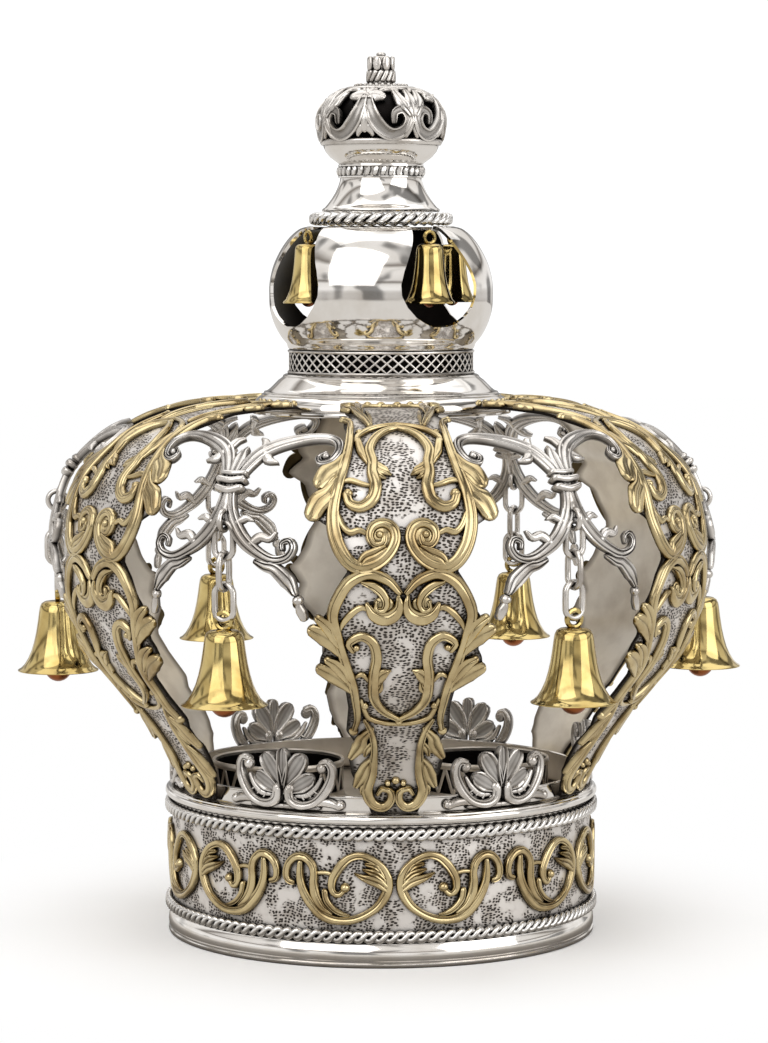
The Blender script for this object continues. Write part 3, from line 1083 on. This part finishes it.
def make_finial():
    """The small crown on top: a beaded flange, a twisted stem and a ring of upright lobes."""
    collar = lathe(
        [(5, 381.9), (11.4, 381.9), (12.3, 382.3), (11.6, 383.2), (8.8, 383.9), (6.2, 384.4),
         (5.8, 385), (5.8, 389.6), (5.0, 390.2), (4.7, 390.8), (5.2, 391.6), (5.2, 395), (4.6, 396),
         (3.2, 396.6), (2.0, 396.7), (2.2, 397.3), (2.0, 397.9), (1.3, 398.35), (0, 398.5),
         (0, 382.4), (5, 382.4)],
        48)
    beads = Casting()
    count = 26
    for index in range(count):
        angle = math.tau * index / count
        beads.ball((math.sin(angle) * 11.4, -math.cos(angle) * 11.4), 1.0, 1.2, (1,), lift=383.0)
    stem_radius = 5.2
    posts = Casting()
    for s in spread(8, stem_radius):
        posts.stroke([(s, 391.4), (s, 393.2), (s, 394.8)], (1.5, 2.0, 1.7), 1.3, RIB, (1,))
    for s in spread(14, stem_radius):
        posts.stroke([(s - 0.8, 385.6), (s + 0.8, 389.2)], (1.05, 1.05), 2.0, RIB, (1,))
    finial = joined([collar, beads.placed(), posts.placed(on_cylinder(stem_radius))])
    settle(clad(finial, cast_silver), "crown_finial", 45, "finial")


make_base_ring()
for rope, rope_height in (("lower_rope", 13.7), ("upper_rope", 58.1)):
    twisted(rope, BAND_RADIUS + 1.6, rope_height, turns=67, tall=1.6, deep=0.6, thick=1.35, steps=12)
make_band_scrolls()
make_arm_plates()
make_arm_gilding()
make_brackets()
make_chains()
make_bells()
make_shells()
make_roller_floor()
make_canopy()
make_globe()
twisted("globe_rope", 29.9, 323.4, turns=18, tall=1.45, deep=1.45, thick=1.5, steps=14)
make_neck()
make_bud()
make_finial()


# Floor, light and camera

def make_floor():
    """White paper that shows the crown's shadow near it and fades into the white room further off."""
    floor = begun(bpy.ops.mesh.primitive_plane_add, size=12)
    floor.name = "pale_floor"
    material, tree, output = blank("white matt paper")
    seen = add(tree, "ShaderNodeLightPath").outputs["Is Camera Ray"]
    place = add(tree, "ShaderNodeTexCoord").outputs["Object"]
    reach = add(tree, "ShaderNodeVectorMath", {"operation": "LENGTH"}, {"Vector": place})
    off = add(tree, "ShaderNodeMapRange", None,
              {"Value": reach.outputs["Value"], "From Min": 0.1, "From Max": 0.15})
    in_mirrors = add(tree, "ShaderNodeMix", {"data_type": "RGBA"},
                     {"Factor": off.outputs["Result"], "A": tint("#85817C"), "B": tint("#E2DFDB")})
    colour = add(tree, "ShaderNodeMix", {"data_type": "RGBA"},
                 {"Factor": seen, "A": in_mirrors.outputs["Result"], "B": tint("#FFFFFF")})
    paper = add(tree, "ShaderNodeBsdfDiffuse", None, {"Color": colour.outputs["Result"]})
    white = add(tree, "ShaderNodeEmission", None, {"Color": colour.outputs["Result"], "Strength": 1.0})
    far = add(tree, "ShaderNodeMapRange", {"interpolation_type": "SMOOTHSTEP"},
              {"Value": reach.outputs["Value"], "From Min": 0.1, "From Max": 0.26})
    mixed = add(tree, "ShaderNodeMixShader", None,
                {0: far.outputs["Result"], 1: paper.outputs["BSDF"], 2: white.outputs["Emission"]})
    tree.links.new(mixed.outputs["Shader"], output.inputs["Surface"])
    clad(floor, material)


def make_light():
    """Soft boxes in a pale grey room, whose walls have darker bands for the silver to mirror."""
    world = bpy.data.worlds.new("pale room")
    bpy.context.scene.world = world
    world.use_nodes = True
    tree = world.node_tree
    tree.nodes.clear()
    way = add(tree, "ShaderNodeTexCoord").outputs["Generated"]
    split = add(tree, "ShaderNodeSeparateXYZ", None, {"Vector": way})
    lift = add(tree, "ShaderNodeMapRange", None,
               {"Value": split.outputs["Z"], "From Min": -0.2, "From Max": 1.0})
    height = add(tree, "ShaderNodeValToRGB", None, {"Fac": lift.outputs["Result"]})
    ramp = height.color_ramp
    ramp.elements[0].color = tint("#BDB9B5")
    ramp.elements[1].color = tint("#EBE9E7")
    for position, code in ((0.13, "#A8A39E"), (0.19, "#F4F3F2"), (0.31, "#E9E7E5"), (0.36, "#6F6963"),
                           (0.41, "#DCD9D6"), (0.62, "#F0EEEC"), (0.68, "#7F7973"), (0.76, "#E6E4E2")):
        ramp.elements.new(position).color = tint(code)
    walls = add(tree, "ShaderNodeTexNoise", None, {"Vector": way, "Scale": 2.2, "Detail": 1.0})
    bands = add(tree, "ShaderNodeMapRange", {"interpolation_type": "SMOOTHSTEP"},
                {"Value": walls.outputs["Fac"], "From Min": 0.4, "From Max": 0.5, "To Min": 0.3})
    room = add(tree, "ShaderNodeMix", {"data_type": "RGBA", "blend_type": "MULTIPLY"},
               {"Factor": 1.0, "A": height.outputs["Color"], "B": bands.outputs["Result"]})
    seen = add(tree, "ShaderNodeLightPath").outputs["Is Camera Ray"]
    colour = add(tree, "ShaderNodeMix", {"data_type": "RGBA"},
                 {"Factor": seen, "A": room.outputs["Result"], "B": tint("#FFFFFF")})
    shell = add(tree, "ShaderNodeBackground", None, {"Color": colour.outputs["Result"], "Strength": 1.12})
    output = add(tree, "ShaderNodeOutputWorld")
    tree.links.new(shell.outputs["Background"], output.inputs["Surface"])
    for name, place, size, power in (
            ("key softbox", (-1.0, -1.5, 1.5), 2.1, 20), ("fill softbox", (1.4, -1.1, 0.9), 1.5, 11),
            ("top softbox", (0.1, 0.5, 1.8), 2.2, 11)):
        bpy.ops.object.light_add(type="AREA", location=place)
        lamp = bpy.context.object
        lamp.name = name
        lamp.data.shape = "SQUARE"
        lamp.data.size = size
        lamp.data.energy = power
        aim = Vector((0, 0, 0.2)) - Vector(place)
        lamp.rotation_euler = aim.to_track_quat("-Z", "Y").to_euler()


def make_camera():
    """A long lens from the front, a little to the left and above the middle, looking slightly down."""
    distance = 1.545
    swing = math.radians(3.5)
    bpy.ops.object.camera_add(
        location=(-math.sin(swing) * distance, -math.cos(swing) * distance, 0.305),
        rotation=(math.radians(85.6), 0, -math.radians(3.55)))
    camera = bpy.context.object
    camera.data.lens = 117.35
    camera.data.sensor_width = 36
    camera.data.clip_start = 0.05
    bpy.context.scene.camera = camera


make_floor()
make_light()
make_camera()
bpy.context.scene.view_settings.view_transform = "Standard"
